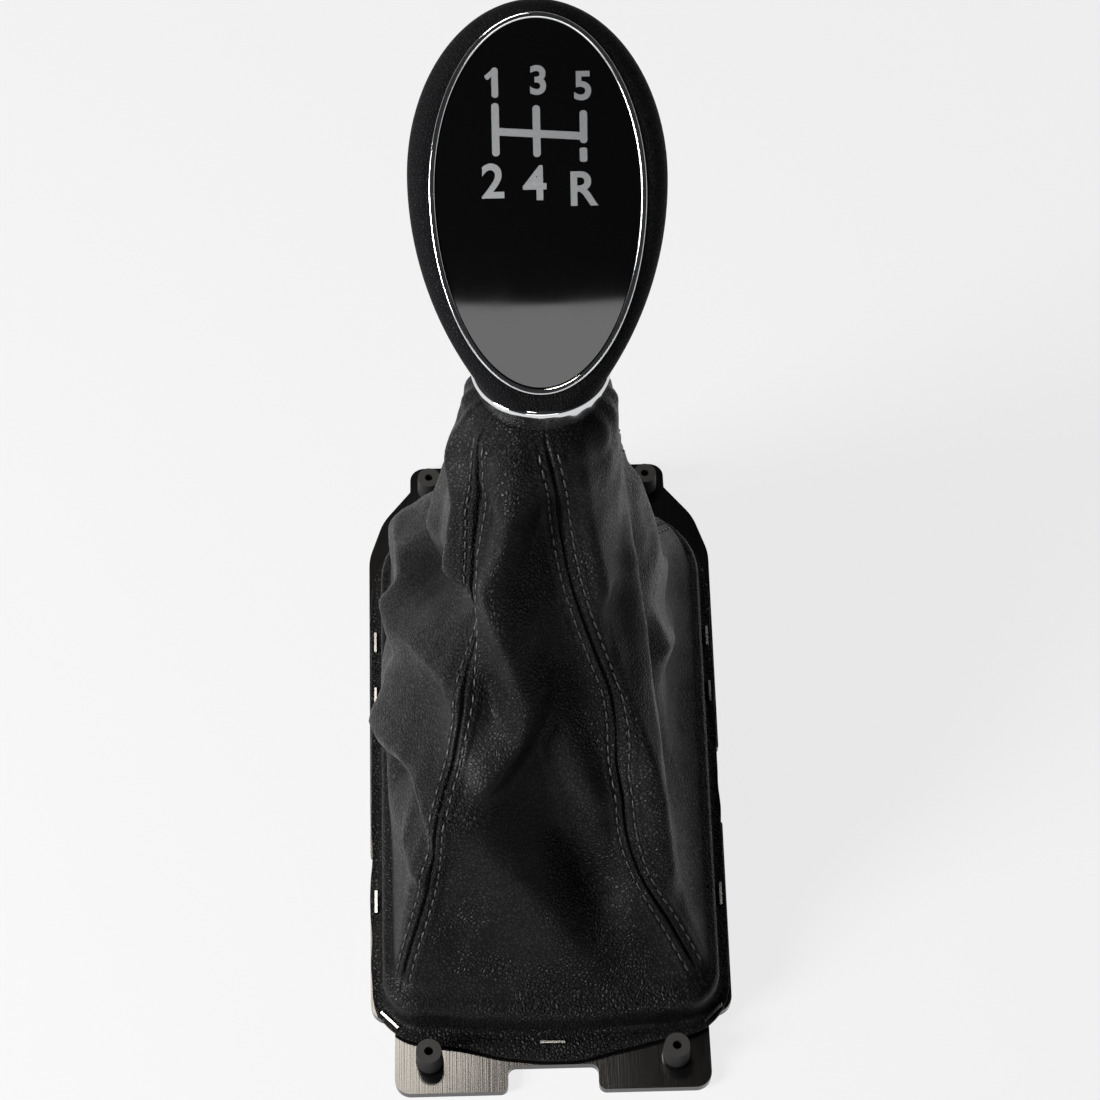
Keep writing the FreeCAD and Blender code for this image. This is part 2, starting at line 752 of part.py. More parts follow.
def knob_shell():
    body = grip_front().fuse(grip_back())
    pocket = oval_solid(-fit_gap, pocket_floor, face_plane - grip_front_depth)
    body = body.cut(pocket)
    body.Placement = grip_frame
    body = body.cut(grip_underside())
    return body.cut(socket_stub(fit_gap))


def socket_stub(growth):
    """Stub of the lever socket inside the grip, cut off parallel to the face."""
    radius = socket_stub_radius + growth
    stub = Part.makeCylinder(radius, socket_stub_height + growth, Vec(0, 0, shell_bottom))
    stub.Placement = lever_frame
    reach = 4.0 * grip_half_width
    cap_front = pocket_floor + stub_floor - growth
    cap = Part.makeBox(reach, reach, reach, Vec(-0.5 * reach, cap_front - reach, -0.5 * reach))
    cap.Placement = grip_frame.multiply(cap.Placement)
    return stub.cut(cap)


write("knob_shell", knob_shell())


# Trim ring: a thin oval band that stands a little proud of the face
def face_trim_ring():
    ring = oval_solid(0.0, pocket_floor, face_plane - face_ring_proud)
    hole = oval_solid(face_ring_width, pocket_floor + 1.0, face_plane - 2.0 * face_ring_proud - 1.0)
    ring = ring.cut(hole)
    front_edges = []
    for edge in ring.Edges:
        box = edge.BoundBox
        if box.YMax < face_plane - face_ring_proud + 0.01:
            front_edges.append(edge)
    ring = ring.makeFillet(face_ring_edge, front_edges)
    ring.Placement = grip_frame
    return ring


write("face_trim_ring", face_trim_ring())


# Lens: an oval plate with a gentle dome, flatter along its length than across
def face_lens():
    plate = oval_solid(face_ring_width + fit_gap, pocket_floor, face_plane - 2.0 * lens_rise)
    crest = face_plane - lens_rise
    start = Vec(-2.0 * face_half_width, 0, 0)
    sag = lens_cross_radius - math.sqrt(lens_cross_radius**2 - start.x**2)
    left = Vec(start.x, crest + sag, 0)
    right = Vec(-start.x, crest + sag, 0)
    arc = Part.Arc(left, Vec(0, crest, 0), right).toShape()
    deep = crest + lens_cross_radius
    lines = [
        Part.makeLine(right, Vec(right.x, deep, 0)),
        Part.makeLine(Vec(right.x, deep, 0), Vec(left.x, deep, 0)),
        Part.makeLine(Vec(left.x, deep, 0), left),
    ]
    section = Part.Face(Part.Wire([arc] + lines))
    centre = Vec(0, crest + lens_long_radius, 0)
    section.rotate(centre, Vec(1, 0, 0), -lens_swing)
    dome = section.revolve(centre, Vec(1, 0, 0), 2.0 * lens_swing)
    dome.translate(Vec(0, 0, face_centre))
    lens = plate.common(dome)
    lens.Placement = grip_frame
    return lens


write("face_lens", face_lens())


# Turned pieces round the lever
def turned(points):
    """Solid of revolution round the lever from (radius, height) points."""
    profile = Part.makePolygon([Vec(r, 0, s) for r, s in points + points[:1]])
    solid = Part.Face(profile).revolve(Vec(0, 0, 0), Vec(0, 0, 1), 360)
    return solid


flange_radius = collar_radius - collar_wall - socket_flange_gap
lip_radius = flange_radius - collar_inner_lip
seat_height = collar_bottom + collar_lip
sleeve_radius = socket_bore_radius + socket_wall


def knob_collar():
    low_radius = collar_radius - collar_taper
    bore = flange_radius + socket_flange_gap
    points = [
        (lip_radius, collar_bottom),
        (low_radius, collar_bottom),
        (collar_radius, shell_bottom),
        (bore, shell_bottom),
        (bore, seat_height),
        (lip_radius, seat_height),
    ]
    collar = turned(points)
    rounds = []
    for edge in collar.Edges:
        box = edge.BoundBox
        outer = box.XLength > 2.0 * low_radius - 0.1
        if outer and box.ZLength < 0.01 and abs(box.ZMin - collar_bottom) < 0.01:
            rounds.append(edge)
    collar = collar.makeFillet(collar_edge_round, rounds)
    collar.Placement = lever_frame
    return collar


write("knob_collar", knob_collar())


def lever_socket():
    foot = seat_height - socket_length
    bore_top = shell_bottom - socket_cap
    chamfer = 0.25 * socket_wall
    points = [
        (socket_bore_radius + chamfer, foot),
        (sleeve_radius - chamfer, foot),
        (sleeve_radius, foot + chamfer),
        (sleeve_radius, seat_height),
        (flange_radius, seat_height),
        (flange_radius, shell_bottom),
        (0.0, shell_bottom),
        (0.0, bore_top),
        (socket_bore_radius, bore_top),
        (socket_bore_radius, foot + chamfer),
    ]
    socket = turned(points)
    socket.Placement = lever_frame
    return socket.fuse(socket_stub(0.0)).removeSplitter()


write("lever_socket", lever_socket())


def neck_ring():
    inner = sleeve_radius + socket_flange_gap
    outer = neck_edge_radius - leather_thickness - leather_gap
    low = seat_height - neck_ring_height
    points = [
        (inner, low),
        (outer - 0.3 * (outer - inner), low),
        (outer, low + 0.3 * (outer - inner)),
        (outer, seat_height),
        (inner, seat_height),
    ]
    ring = turned(points)
    ring.Placement = lever_frame
    return ring


write("neck_ring", neck_ring())
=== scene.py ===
import bisect
import math
import bmesh
import bpy
from mathutils import Matrix, Vector, noise


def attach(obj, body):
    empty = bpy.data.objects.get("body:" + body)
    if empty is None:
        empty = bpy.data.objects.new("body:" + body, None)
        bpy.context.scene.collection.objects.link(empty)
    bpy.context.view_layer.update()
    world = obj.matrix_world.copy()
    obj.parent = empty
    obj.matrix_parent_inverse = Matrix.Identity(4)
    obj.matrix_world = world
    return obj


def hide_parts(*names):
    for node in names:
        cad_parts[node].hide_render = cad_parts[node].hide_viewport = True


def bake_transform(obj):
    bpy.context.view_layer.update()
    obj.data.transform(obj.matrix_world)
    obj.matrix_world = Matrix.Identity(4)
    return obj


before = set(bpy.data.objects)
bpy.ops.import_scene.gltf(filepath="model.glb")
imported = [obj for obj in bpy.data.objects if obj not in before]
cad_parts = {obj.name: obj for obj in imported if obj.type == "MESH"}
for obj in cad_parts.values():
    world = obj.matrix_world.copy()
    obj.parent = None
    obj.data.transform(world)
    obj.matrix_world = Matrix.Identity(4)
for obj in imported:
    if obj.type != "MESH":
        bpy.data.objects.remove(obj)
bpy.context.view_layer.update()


# Base frame: one ABS moulding with a flat flange, a raised rim and four screw bosses.
# Its mould was dressed along its length, so the black satin skin shows fine lines from front to rear.
def linear(code):
    """Linear colour of an sRGB hex value."""
    shades = [int(code[i:i + 2], 16) / 255 for i in (1, 3, 5)]
    bent = [s / 12.92 if s <= 0.04045 else ((s + 0.055) / 1.055) ** 2.4 for s in shades]
    return (*bent, 1.0)


def node(tree, kind, values=(), links=(), **settings):
    """One new node with its settings, its socket values and the links that feed it."""
    made = tree.nodes.new(kind)
    for name, value in settings.items():
        setattr(made, name, value)
    for socket, value in values:
        made.inputs[socket].default_value = value
    for socket, source in links:
        tree.links.new(source, made.inputs[socket])
    return made


def finish_named(name):
    """New material with its node tree, its shader and its place on the piece."""
    material = bpy.data.materials.new(name)
    material.use_nodes = True
    tree = material.node_tree
    place = node(tree, "ShaderNodeTexCoord")
    return material, tree, tree.nodes["Principled BSDF"], place.outputs["Object"]


# Satin ABS: near black, a soft highlight drawn out across the mould lines, and dull on the raised bosses and rim.
satin_abs, tree, skin, place = finish_named("satin_abs")
skin.inputs["Base Color"].default_value = linear("#100f0f")
skin.inputs["IOR"].default_value = 1.53
line_width, line_length, cloud_width = 0.00035, 0.03, 0.02
lines = node(tree, "ShaderNodeMapping", [("Scale", (1 / line_width, 1 / line_length, 1 / line_width))],
             [("Vector", place)])
streaks = node(tree, "ShaderNodeTexNoise", [("Scale", 1.0), ("Detail", 2.0)], [("Vector", lines.outputs[0])])
clouds = node(tree, "ShaderNodeTexNoise", [("Scale", 1 / cloud_width), ("Detail", 3.0)], [("Vector", place)])
mixed = node(tree, "ShaderNodeMath", (), [(0, streaks.outputs[0]), (1, clouds.outputs[0])], operation="ADD")
worn = node(tree, "ShaderNodeMapRange", [("From Min", 0.6), ("From Max", 1.4), ("To Min", 0.12), ("To Max", 0.2)],
            [("Value", mixed.outputs[0])])
relief = node(tree, "ShaderNodeBump", [("Strength", 0.35), ("Distance", 0.00004)], [("Height", streaks.outputs[0])])
height = node(tree, "ShaderNodeSeparateXYZ", (), [("Vector", place)])
boss = node(tree, "ShaderNodeMapRange", [("From Min", 0.003), ("From Max", 0.004), ("To Max", 0.5)],
            [("Value", height.outputs["Z"])])
dulled = node(tree, "ShaderNodeMath", (), [(0, worn.outputs[0]), (1, boss.outputs[0])], operation="ADD")
tree.links.new(dulled.outputs[0], skin.inputs["Roughness"])
tree.links.new(relief.outputs[0], skin.inputs["Normal"])
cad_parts["base_frame"].material_slots[0].material = satin_abs


# Leather panels: black grained hide about 1.2 mm thick, cut in four pieces and sewn edge to edge.
# The lower edge is wrapped over the rim on to the flange, and the neck is drawn in under the collar.
# Above the rim the slack hide falls in broad folds, twisted a little towards the neck.
hide = 0.0012
hide_gap = 0.0004
skirt = hide + hide_gap
rim_bend = 0.0014
rim_top = 0.0122
hem_top = 0.0024 + skirt
hem_side, hem_end = 0.0024, 0.0068
neck_radius, neck_edge = 0.017, 0.0129
lean = math.radians(9.0)
land_rise = rim_top + skirt
skin_rise = 0.1365 - hide_gap - land_rise
rim_corners = [(0.0, -0.077, 0.230), (0.0395, -0.0735, 0.009), (0.0415, 0.069, 0.020),
               (-0.0415, 0.069, 0.020), (-0.0395, -0.0735, 0.009)]


def rim_place(stop, offset):
    """Point on the rim's outline grown by offset: each corner's arc takes one stop, the side after it the next."""
    index = int(stop // 2) % 5
    share = stop % 2
    ends = []
    for i in (index, (index + 1) % 5):
        x0, y0, _ = rim_corners[i - 1]
        x1, y1, radius = rim_corners[i]
        x2, y2, _ = rim_corners[(i + 1) % 5]
        before = Vector((x1 - x0, y1 - y0)).normalized()
        after = Vector((x2 - x1, y2 - y1)).normalized()
        half_turn = 0.5 * before.angle(after)
        out = Vector((before.y + after.y, -before.x - after.x)).normalized()
        corner = Vector((x1, y1)) + out * (offset / math.cos(half_turn))
        reach = (radius + offset) * math.tan(half_turn)
        ends.append((corner - before * reach, corner + after * reach, before, radius + offset, 2 * half_turn))
    first, last, before, radius, turn = ends[0]
    if share > 1:
        return last.lerp(ends[1][0], share - 1)
    left = Vector((-before.y, before.x))
    return first + left * radius + Matrix.Rotation(turn * share, 2) @ (-left * radius)


# Direction and reach of the land, the flat ring on top of the wrapped rim, all the way round
rim_stops, stop_steps = 10, 400
land_inset = 1.8 * rim_bend
land_angles, land_reaches = [], []
for i in range(rim_stops * stop_steps + 1):
    point = rim_place(i / stop_steps, skirt - land_inset)
    angle = math.atan2(point.y, point.x)
    if land_angles and angle < land_angles[-1] - 1e-9:
        angle += 2 * math.pi
    land_angles.append(angle)
    land_reaches.append(point.length)


def at_angle(angle):
    """Place in the land's tables for one direction from the lever: index and share of the step."""
    turned = (angle - land_angles[0]) % (2 * math.pi) + land_angles[0]
    i = min(max(bisect.bisect(land_angles, turned) - 1, 0), len(land_angles) - 2)
    span = land_angles[i + 1] - land_angles[i]
    return i, (turned - land_angles[i]) / span if span else 0.0


def curve(points, share):
    """Smooth curve through a few (share, value) points."""
    last = len(points) - 1
    i = 0
    while i < last - 1 and share > points[i + 1][0]:
        i += 1
    (x0, y0), (x1, y1) = points[i], points[i + 1]
    before, after = points[max(i - 1, 0)], points[min(i + 2, last)]
    slope0 = (y1 - before[1]) / (x1 - before[0])
    slope1 = (after[1] - y0) / (after[0] - x0)
    t = (share - x0) / (x1 - x0)
    bent = (2 * t**3 - 3 * t**2 + 1) * y0 + (3 * t**2 - 2 * t**3) * y1
    return bent + (x1 - x0) * ((t**3 - 2 * t**2 + t) * slope0 + (t**3 - t**2) * slope1)


# How far the hide stands out between the neck (0) and the land (1), by share of the rise
front_fullness = [(0, 1), (0.09, 0.86), (0.18, 0.72), (0.39, 0.52), (0.52, 0.36), (0.76, 0.17), (1, 0)]
rear_fullness = [(0, 1), (0.09, 0.87), (0.18, 0.76), (0.39, 0.54), (0.52, 0.41), (0.76, 0.16), (1, 0)]
right_fullness = [(0, 1), (0.06, 0.76), (0.14, 0.62), (0.26, 0.52), (0.5, 0.34), (0.76, 0.09), (1, 0)]
left_fullness = [(0, 1), (0.1, 1.06), (0.2, 1.04), (0.3, 0.86), (0.42, 0.5), (0.62, 0.3), (1, 0)]

# Degrees that the hide is carried round the lever, and that the front seams are drawn in, by share of the rise
neck_twist = [(0, 0), (0.1, -1.2), (0.2, -2.6), (0.35, -2), (0.48, -2),
              (0.58, -7), (0.72, -14), (0.9, -19), (1, -25)]
front_draw = [(0, 0), (0.08, 2), (0.2, 6), (0.3, 6.5), (0.45, 3), (0.62, 0.5), (1, 0)]

# Folds as (height, width to the left, width to the right, line), in shares of the fold depth and width.
# The line runs through places of (degrees round the lever, share of the rise); a negative height is a hollow.
fold_depth, fold_width, fold_limit, crest_share = 0.005, 0.010, 0.010, 0.04
fold_ease_low, fold_ease_high = 0.16, 0.12
folds = [
    (1.4, 0.7, 1.0, [(-118, 0.98), (-105, 0.94), (-108, 0.83), (-114, 0.73), (-109, 0.68), (-102, 0.61),
                     (-96, 0.53), (-98, 0.44), (-106, 0.39)]),
    (-0.8, 0.9, 0.9, [(-122, 0.84), (-124, 0.72), (-114, 0.6)]),
    (-1.3, 1.2, 1.3, [(-86, 0.82), (-82, 0.62), (-78, 0.46), (-75, 0.4)]),
    (-0.7, 0.8, 0.8, [(-124, 0.56), (-114, 0.52), (-108, 0.48)]),
    (1.9, 0.8, 2.0, [(-112, 0.33), (-106, 0.31), (-90, 0.17), (-83, 0.07)]),
    (-1.4, 1.0, 1.1, [(-94, 0.42), (-87, 0.28), (-81, 0.14)]),
    (-0.4, 0.8, 0.9, [(-68, 0.34), (-76, 0.17), (-81, 0.08)]),
    (0.3, 0.9, 0.9, [(-59, 0.36), (-64, 0.2), (-70, 0.1)]),
    (-0.6, 0.7, 0.7, [(-108, 0.07), (-97, 0.05), (-82, 0.04), (-70, 0.05)]),
    (-1.6, 1.2, 1.2, [(152, 0.42), (-160, 0.53), (-132, 0.57)]),
    (1.2, 0.9, 1.0, [(165, 0.3), (-164, 0.4), (-128, 0.5)]),
    (0.8, 0.8, 0.8, [(-166, 0.16), (-141, 0.28), (-126, 0.33)]),
    (-1.0, 0.8, 0.8, [(-146, 0.15), (-132, 0.23), (-120, 0.27)]),
    (0.6, 0.7, 0.7, [(-126, 0.2), (-119, 0.22)]),
    (0.7, 1.2, 0.9, [(-30, 0.64), (-50, 0.44), (-60, 0.28), (-62, 0.18)]),
    (-1.1, 1.3, 1.3, [(-14, 0.58), (-30, 0.36), (-40, 0.16)]),
    (-0.7, 0.8, 0.8, [(-60, 0.62), (-66, 0.48), (-70, 0.36)]),
    (0.7, 1.1, 0.8, [(-8, 0.3), (14, 0.2), (30, 0.1)]),
    (0.7, 0.8, 0.8, [(-166, 0.9), (-148, 0.8), (-146, 0.66)]),
    (0.9, 1.0, 1.0, [(58, 0.66), (84, 0.5), (96, 0.3), (88, 0.14)]),
    (-1.1, 1.1, 1.1, [(62, 0.34), (86, 0.24), (122, 0.12)]),
    (-0.9, 1.1, 1.1, [(104, 0.62), (118, 0.4), (112, 0.26)]),
    (0.9, 0.9, 1.2, [(36, 0.6), (24, 0.44), (40, 0.24)]),
    (-0.9, 1.0, 1.0, [(50, 0.5), (50, 0.3), (62, 0.12)]),
    (0.8, 0.9, 0.9, [(150, 0.34), (132, 0.24), (128, 0.1)]),
    (-0.8, 1.0, 1.0, [(172, 0.24), (150, 0.16), (140, 0.08)]),
    (0.7, 0.9, 0.9, [(140, 0.7), (152, 0.56), (172, 0.48)]),
]


def half_turned(degrees):
    """The same direction between -180 and 180 degrees."""
    return (degrees + 180) % 360 - 180


def fold_rise(place, share, reach):
    """Height of all the folds at one direction and share of the rise."""
    degrees = math.degrees(place)
    total = 0.0
    for height, left, right, line in folds:
        nearest = fold_width * max(left, right)
        width = nearest
        for (a0, s0), (a1, s1) in zip(line, line[1:]):
            px = math.radians(half_turned(degrees - a0)) * reach
            pz = (share - s0) * skin_rise
            qx = math.radians(half_turned(a1 - a0)) * reach
            qz = (s1 - s0) * skin_rise
            t = min(1.0, max(0.0, (px * qx + pz * qz) / (qx * qx + qz * qz)))
            far = math.hypot(px - t * qx, pz - t * qz)
            if far < nearest:
                nearest = far
                lean_left = (qx * pz - qz * px) / (math.hypot(qx, qz) * max(far, 0.00001))
                width = fold_width * (right + (left - right) * (0.5 + 0.5 * lean_left))
        crest = crest_share * width
        away = (math.sqrt(nearest**2 + crest**2) - crest) / width
        if away < 1:
            total += fold_depth * height * (1 - away) ** 2 * (1 + away)
    eased = fold_limit * math.tanh(total / fold_limit) * min(1.0, share / fold_ease_low)
    return eased * min(1.0, (1 - share) / fold_ease_high)


# Small forms of the slack hide, in metres and shares of the rise
tuck_start, tuck_span = 0.95, 0.05
gather_start, gather_span, gather_end, gather_depth, gather_count = 0.86, 0.14, 0.03, 0.0005, 13
dent_depth, dent_width, dimple_depth, dimple_width = 0.0007, 0.017, 0.0003, 0.006
crumple_start, crumple_span, crumple_depth, crumple_width = 0.84, 0.16, 0.0009, 0.0045
dent_ease, out_climb = 0.06, 0.3


def surface(place, share):
    """Point on the outside of the hide, from the rim's land (0) to the neck (1)."""
    i, step = at_angle(place)
    land = land_reaches[i] + (land_reaches[i + 1] - land_reaches[i]) * step
    across, along = math.cos(place) ** 2, math.sin(place) ** 2
    side = right_fullness if math.cos(place) > 0 else left_fullness
    end = rear_fullness if math.sin(place) > 0 else front_fullness
    fullness = across * curve(side, share) + along * curve(end, share)
    tuck = (neck_radius - neck_edge) * max(0.0, (share - tuck_start) / tuck_span) ** 2
    reach = neck_radius - tuck + fullness * (land - neck_radius)
    reach += fold_rise(place, share, max(reach, neck_radius))
    gathers = max(0.0, (share - gather_start) / gather_span) * min(1.0, (1 - share) / gather_end)
    reach += gather_depth * gathers * math.sin(gather_count * place + 3 * math.sin(2 * place))
    middle = land_rise + skin_rise * share
    x, y = reach * math.cos(place), reach * math.sin(place)
    tilt = lean * share
    point = Vector((x, middle * math.sin(lean) + y * math.cos(tilt),
                    middle * math.cos(lean) - y * math.sin(tilt)))
    settle = min(1.0, share / dent_ease) * min(1.0, (1 - share) / dent_ease)
    dents = dent_depth * noise.noise(point / dent_width)
    dimples = dimple_depth * noise.noise(point / dimple_width + Vector((7, 3, 5)))
    crumples = crumple_depth * noise.noise(point / crumple_width) * max(0.0, (share - crumple_start) / crumple_span)
    out = Vector((math.cos(place), math.sin(place), out_climb))
    return point + out * ((dents + dimples + crumples) * settle)


seam_stops = [2.5, 4.5, 6.5, 8.5]
seam_angles = [land_angles[round(stop_steps * stop)] for stop in seam_stops]
seam_ease, seam_pad = 0.0038, 0.0005
seam_groove, seam_groove_width = 0.0009, 0.0004
stitch_away, stitch_groove, stitch_groove_width = 0.002, 0.0003, 0.0005


def sewn(angle, share):
    """Point on the hide for a direction at the rim, carried round by the twist and drawn in at the seams."""
    off_front = half_turned(math.degrees(angle) + 90)
    drawn = math.sin(2 * math.radians(off_front)) * max(0.0, math.cos(math.radians(off_front)))
    place = angle + math.radians(curve(neck_twist, share) - drawn * curve(front_draw, share))
    point = surface(place, share)
    away = min(abs((angle - seam + math.pi) % (2 * math.pi) - math.pi) for seam in seam_angles)
    apart = away * math.hypot(point.x, point.y - (land_rise + skin_rise * share) * math.sin(lean))
    settle = min(1.0, share / 0.03) * min(1.0, (1 - share) / 0.05)
    pad = seam_pad * max(0.0, 1 - (apart / seam_ease) ** 4)
    pad -= seam_groove * math.exp(-((apart / seam_groove_width) ** 2))
    pad -= stitch_groove * math.exp(-(((apart - stitch_away) / stitch_groove_width) ** 2))
    return point + Vector((math.cos(place), math.sin(place), out_climb)) * (pad * settle)


# Rows of the wrapped edge, as (share of the hem's width, offset from the skirt, height)
wrap_rows = [
    (1.0, 0.7, hem_top - 0.0004), (0.97, 0.7, hem_top), (0.66, 0.84, hem_top), (0.33, 0.98, hem_top),
    (0.0, 1.12, hem_top + 0.0001), (0.0, 0.28, hem_top + 0.4 * rim_bend), (0.0, 0.0, hem_top + 1.2 * rim_bend),
    (0.0, 0.0, 0.5 * (hem_top + rim_top)), (0.0, 0.0, rim_top - 1.2 * rim_bend),
    (0.0, -0.14, rim_top + 0.0001), (0.0, -0.84, rim_top + 0.75 * skirt), (0.0, -2.52, land_rise),
]
split = 0.5
overlap, overlap_dip = 0.0012, 0.000004
skin_rows = 104
hem_narrowing, hem_wander, hem_wander_width = 26, 0.0005, 0.009
hem_lift, hem_lift_width = 0.0003, 0.008


def hide_point(stop, row):
    """Point on the outside of the hide at one stop round the rim, on a wrapped row or at a share of the rise."""
    if len(row) == 3:
        widen, shift, height = row
        base = rim_place(stop, skirt)
        angle = math.atan2(base.y, base.x)
        hem = hem_side + (hem_end - hem_side) * math.sin(angle) ** hem_narrowing
        hem += hem_wander * noise.noise(Vector((base.x, base.y, 0.0)) / hem_wander_width)
        moved = rim_place(stop, skirt + 0.001 * shift + hem * widen)
        lift = hem_lift * noise.noise(Vector((moved.x, moved.y, height)) / hem_lift_width)
        return Vector((moved.x, moved.y, height + max(0.0, lift)))
    share, dip = row
    point = sewn(land_angles[round(stop_steps * (stop % rim_stops))], share)
    return point - Vector((point.x, point.y, 0)).normalized() * dip


def placed(name, bm):
    """New object in the scene with the mesh that bm holds."""
    mesh = bpy.data.meshes.new(name)
    bm.to_mesh(mesh)
    bm.free()
    piece = bpy.data.objects.new(name, mesh)
    bpy.context.scene.collection.objects.link(piece)
    return piece


def smoothed(bm, sharpest):
    """Smooth faces, with a hard edge where two faces meet at more than the sharpest angle."""
    for face in bm.faces:
        face.smooth = True
    for edge in bm.edges:
        edge.smooth = len(edge.link_faces) == 2 and edge.calc_face_angle(0.0) < math.radians(sharpest)


side_steps, seam_packing = 400, 0.75


def hide_piece(name, first, last, columns, rows):
    """One half of a panel as a closed shell, with its flat area before the wall was added."""
    lengths = [0.0]
    stops = [first + (last - first) * i / side_steps for i in range(side_steps + 1)]
    for before, after in zip(stops, stops[1:]):
        lengths.append(lengths[-1] + (rim_place(after, 0.0) - rim_place(before, 0.0)).length)
    bm = bmesh.new()
    bmesh.ops.create_grid(bm, x_segments=columns, y_segments=len(rows) - 1, size=0.5)
    spots = {}
    for vert in bm.verts:
        column = round((vert.co.x + 0.5) * columns)
        row = round((vert.co.y + 0.5) * (len(rows) - 1))
        evenly = column / columns
        reached = lengths[-1] * (evenly - seam_packing * math.sin(2 * math.pi * evenly) / (2 * math.pi))
        i = max(0, min(bisect.bisect(lengths, reached), side_steps) - 1)
        stop = stops[i] + (stops[i + 1] - stops[i]) * (reached - lengths[i]) / (lengths[i + 1] - lengths[i])
        spots[vert] = hide_point(stop, rows[row])
    for vert, spot in spots.items():
        vert.co = spot
    bm.normal_update()
    area = sum(face.calc_area() for face in bm.faces)
    bmesh.ops.solidify(bm, geom=bm.faces[:], thickness=hide)
    bmesh.ops.recalc_face_normals(bm, faces=bm.faces[:])
    smoothed(bm, 55)
    return placed(name, bm), area


# Drum-dyed hide with a pressed pebble grain: near black, a dull sheen, and smoother where it is pulled tight.
grained_hide, tree, skin, place = finish_named("grained_hide")
pebble, pore, pull = 0.00095, 0.0004, 0.022
warp = node(tree, "ShaderNodeTexNoise", [("Scale", 1 / (2 * pebble)), ("Detail", 1.0)], [("Vector", place)])
bent = node(tree, "ShaderNodeMixRGB", [("Fac", 0.0006)], [("Color1", place), ("Color2", warp.outputs["Color"])],
            blend_type="ADD")
cells = node(tree, "ShaderNodeTexVoronoi", [("Scale", 1 / pebble)], [("Vector", bent.outputs[0])],
             feature="DISTANCE_TO_EDGE")
domes = node(tree, "ShaderNodeMapRange", [("From Max", 0.32)], [("Value", cells.outputs["Distance"])],
             interpolation_type="SMOOTHSTEP")
pores = node(tree, "ShaderNodeTexNoise", [("Scale", 1 / pore), ("Detail", 2.0)], [("Vector", place)])
tension = node(tree, "ShaderNodeTexNoise", [("Scale", 1 / pull), ("Detail", 2.0)], [("Vector", place)])
slack = node(tree, "ShaderNodeMapRange",
             [("From Min", 0.38), ("From Max", 0.62), ("To Min", 0.25), ("To Max", 1.0)],
             [("Value", tension.outputs[0])], interpolation_type="SMOOTHSTEP")
coarse = node(tree, "ShaderNodeBump", [("Distance", 0.00026)],
              [("Strength", slack.outputs[0]), ("Height", domes.outputs[0])])
fine = node(tree, "ShaderNodeBump", [("Strength", 0.5), ("Distance", 0.00003)],
            [("Height", pores.outputs[0]), ("Normal", coarse.outputs[0])])
shade = node(tree, "ShaderNodeValToRGB", (), [("Fac", domes.outputs[0])])
shade.color_ramp.elements[0].color = linear("#08080a")
shade.color_ramp.elements[1].color = linear("#222223")
gloss = node(tree, "ShaderNodeMapRange", [("To Min", 0.46), ("To Max", 0.28)], [("Value", domes.outputs[0])])
tree.links.new(shade.outputs[0], skin.inputs["Base Color"])
skin.inputs["Specular IOR Level"].default_value = 0.1
tree.links.new(gloss.outputs[0], skin.inputs["Roughness"])
tree.links.new(fine.outputs[0], skin.inputs["Normal"])

lower_rows = wrap_rows + [(split * i / (skin_rows / 2), 0.0) for i in range(1, skin_rows // 2 + 1)]
lower_rows.append((split + overlap, overlap_dip))
upper_rows = [(split - overlap, overlap_dip)]
upper_rows += [(split + (1 - split) * i / (skin_rows / 2), 0.0) for i in range(skin_rows // 2 + 1)]
panels = [("front", 8.5, 12.5, 92, 0.082), ("right", 2.5, 4.5, 124, 0.142),
          ("rear", 4.5, 6.5, 84, 0.082), ("left", 6.5, 8.5, 124, 0.142)]
for side, first, last, columns, width in panels:
    node_name = f"gaiter_{side}_panel"
    lower, area = hide_piece(f"{side}_skirt_leather", first, last, columns, lower_rows)
    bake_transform(lower)
    upper, area = hide_piece(f"{side}_neck_leather", first, last, columns, upper_rows)
    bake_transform(upper)
    for piece in (lower, upper):
        piece.data.materials.append(grained_hide)
        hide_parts(node_name)


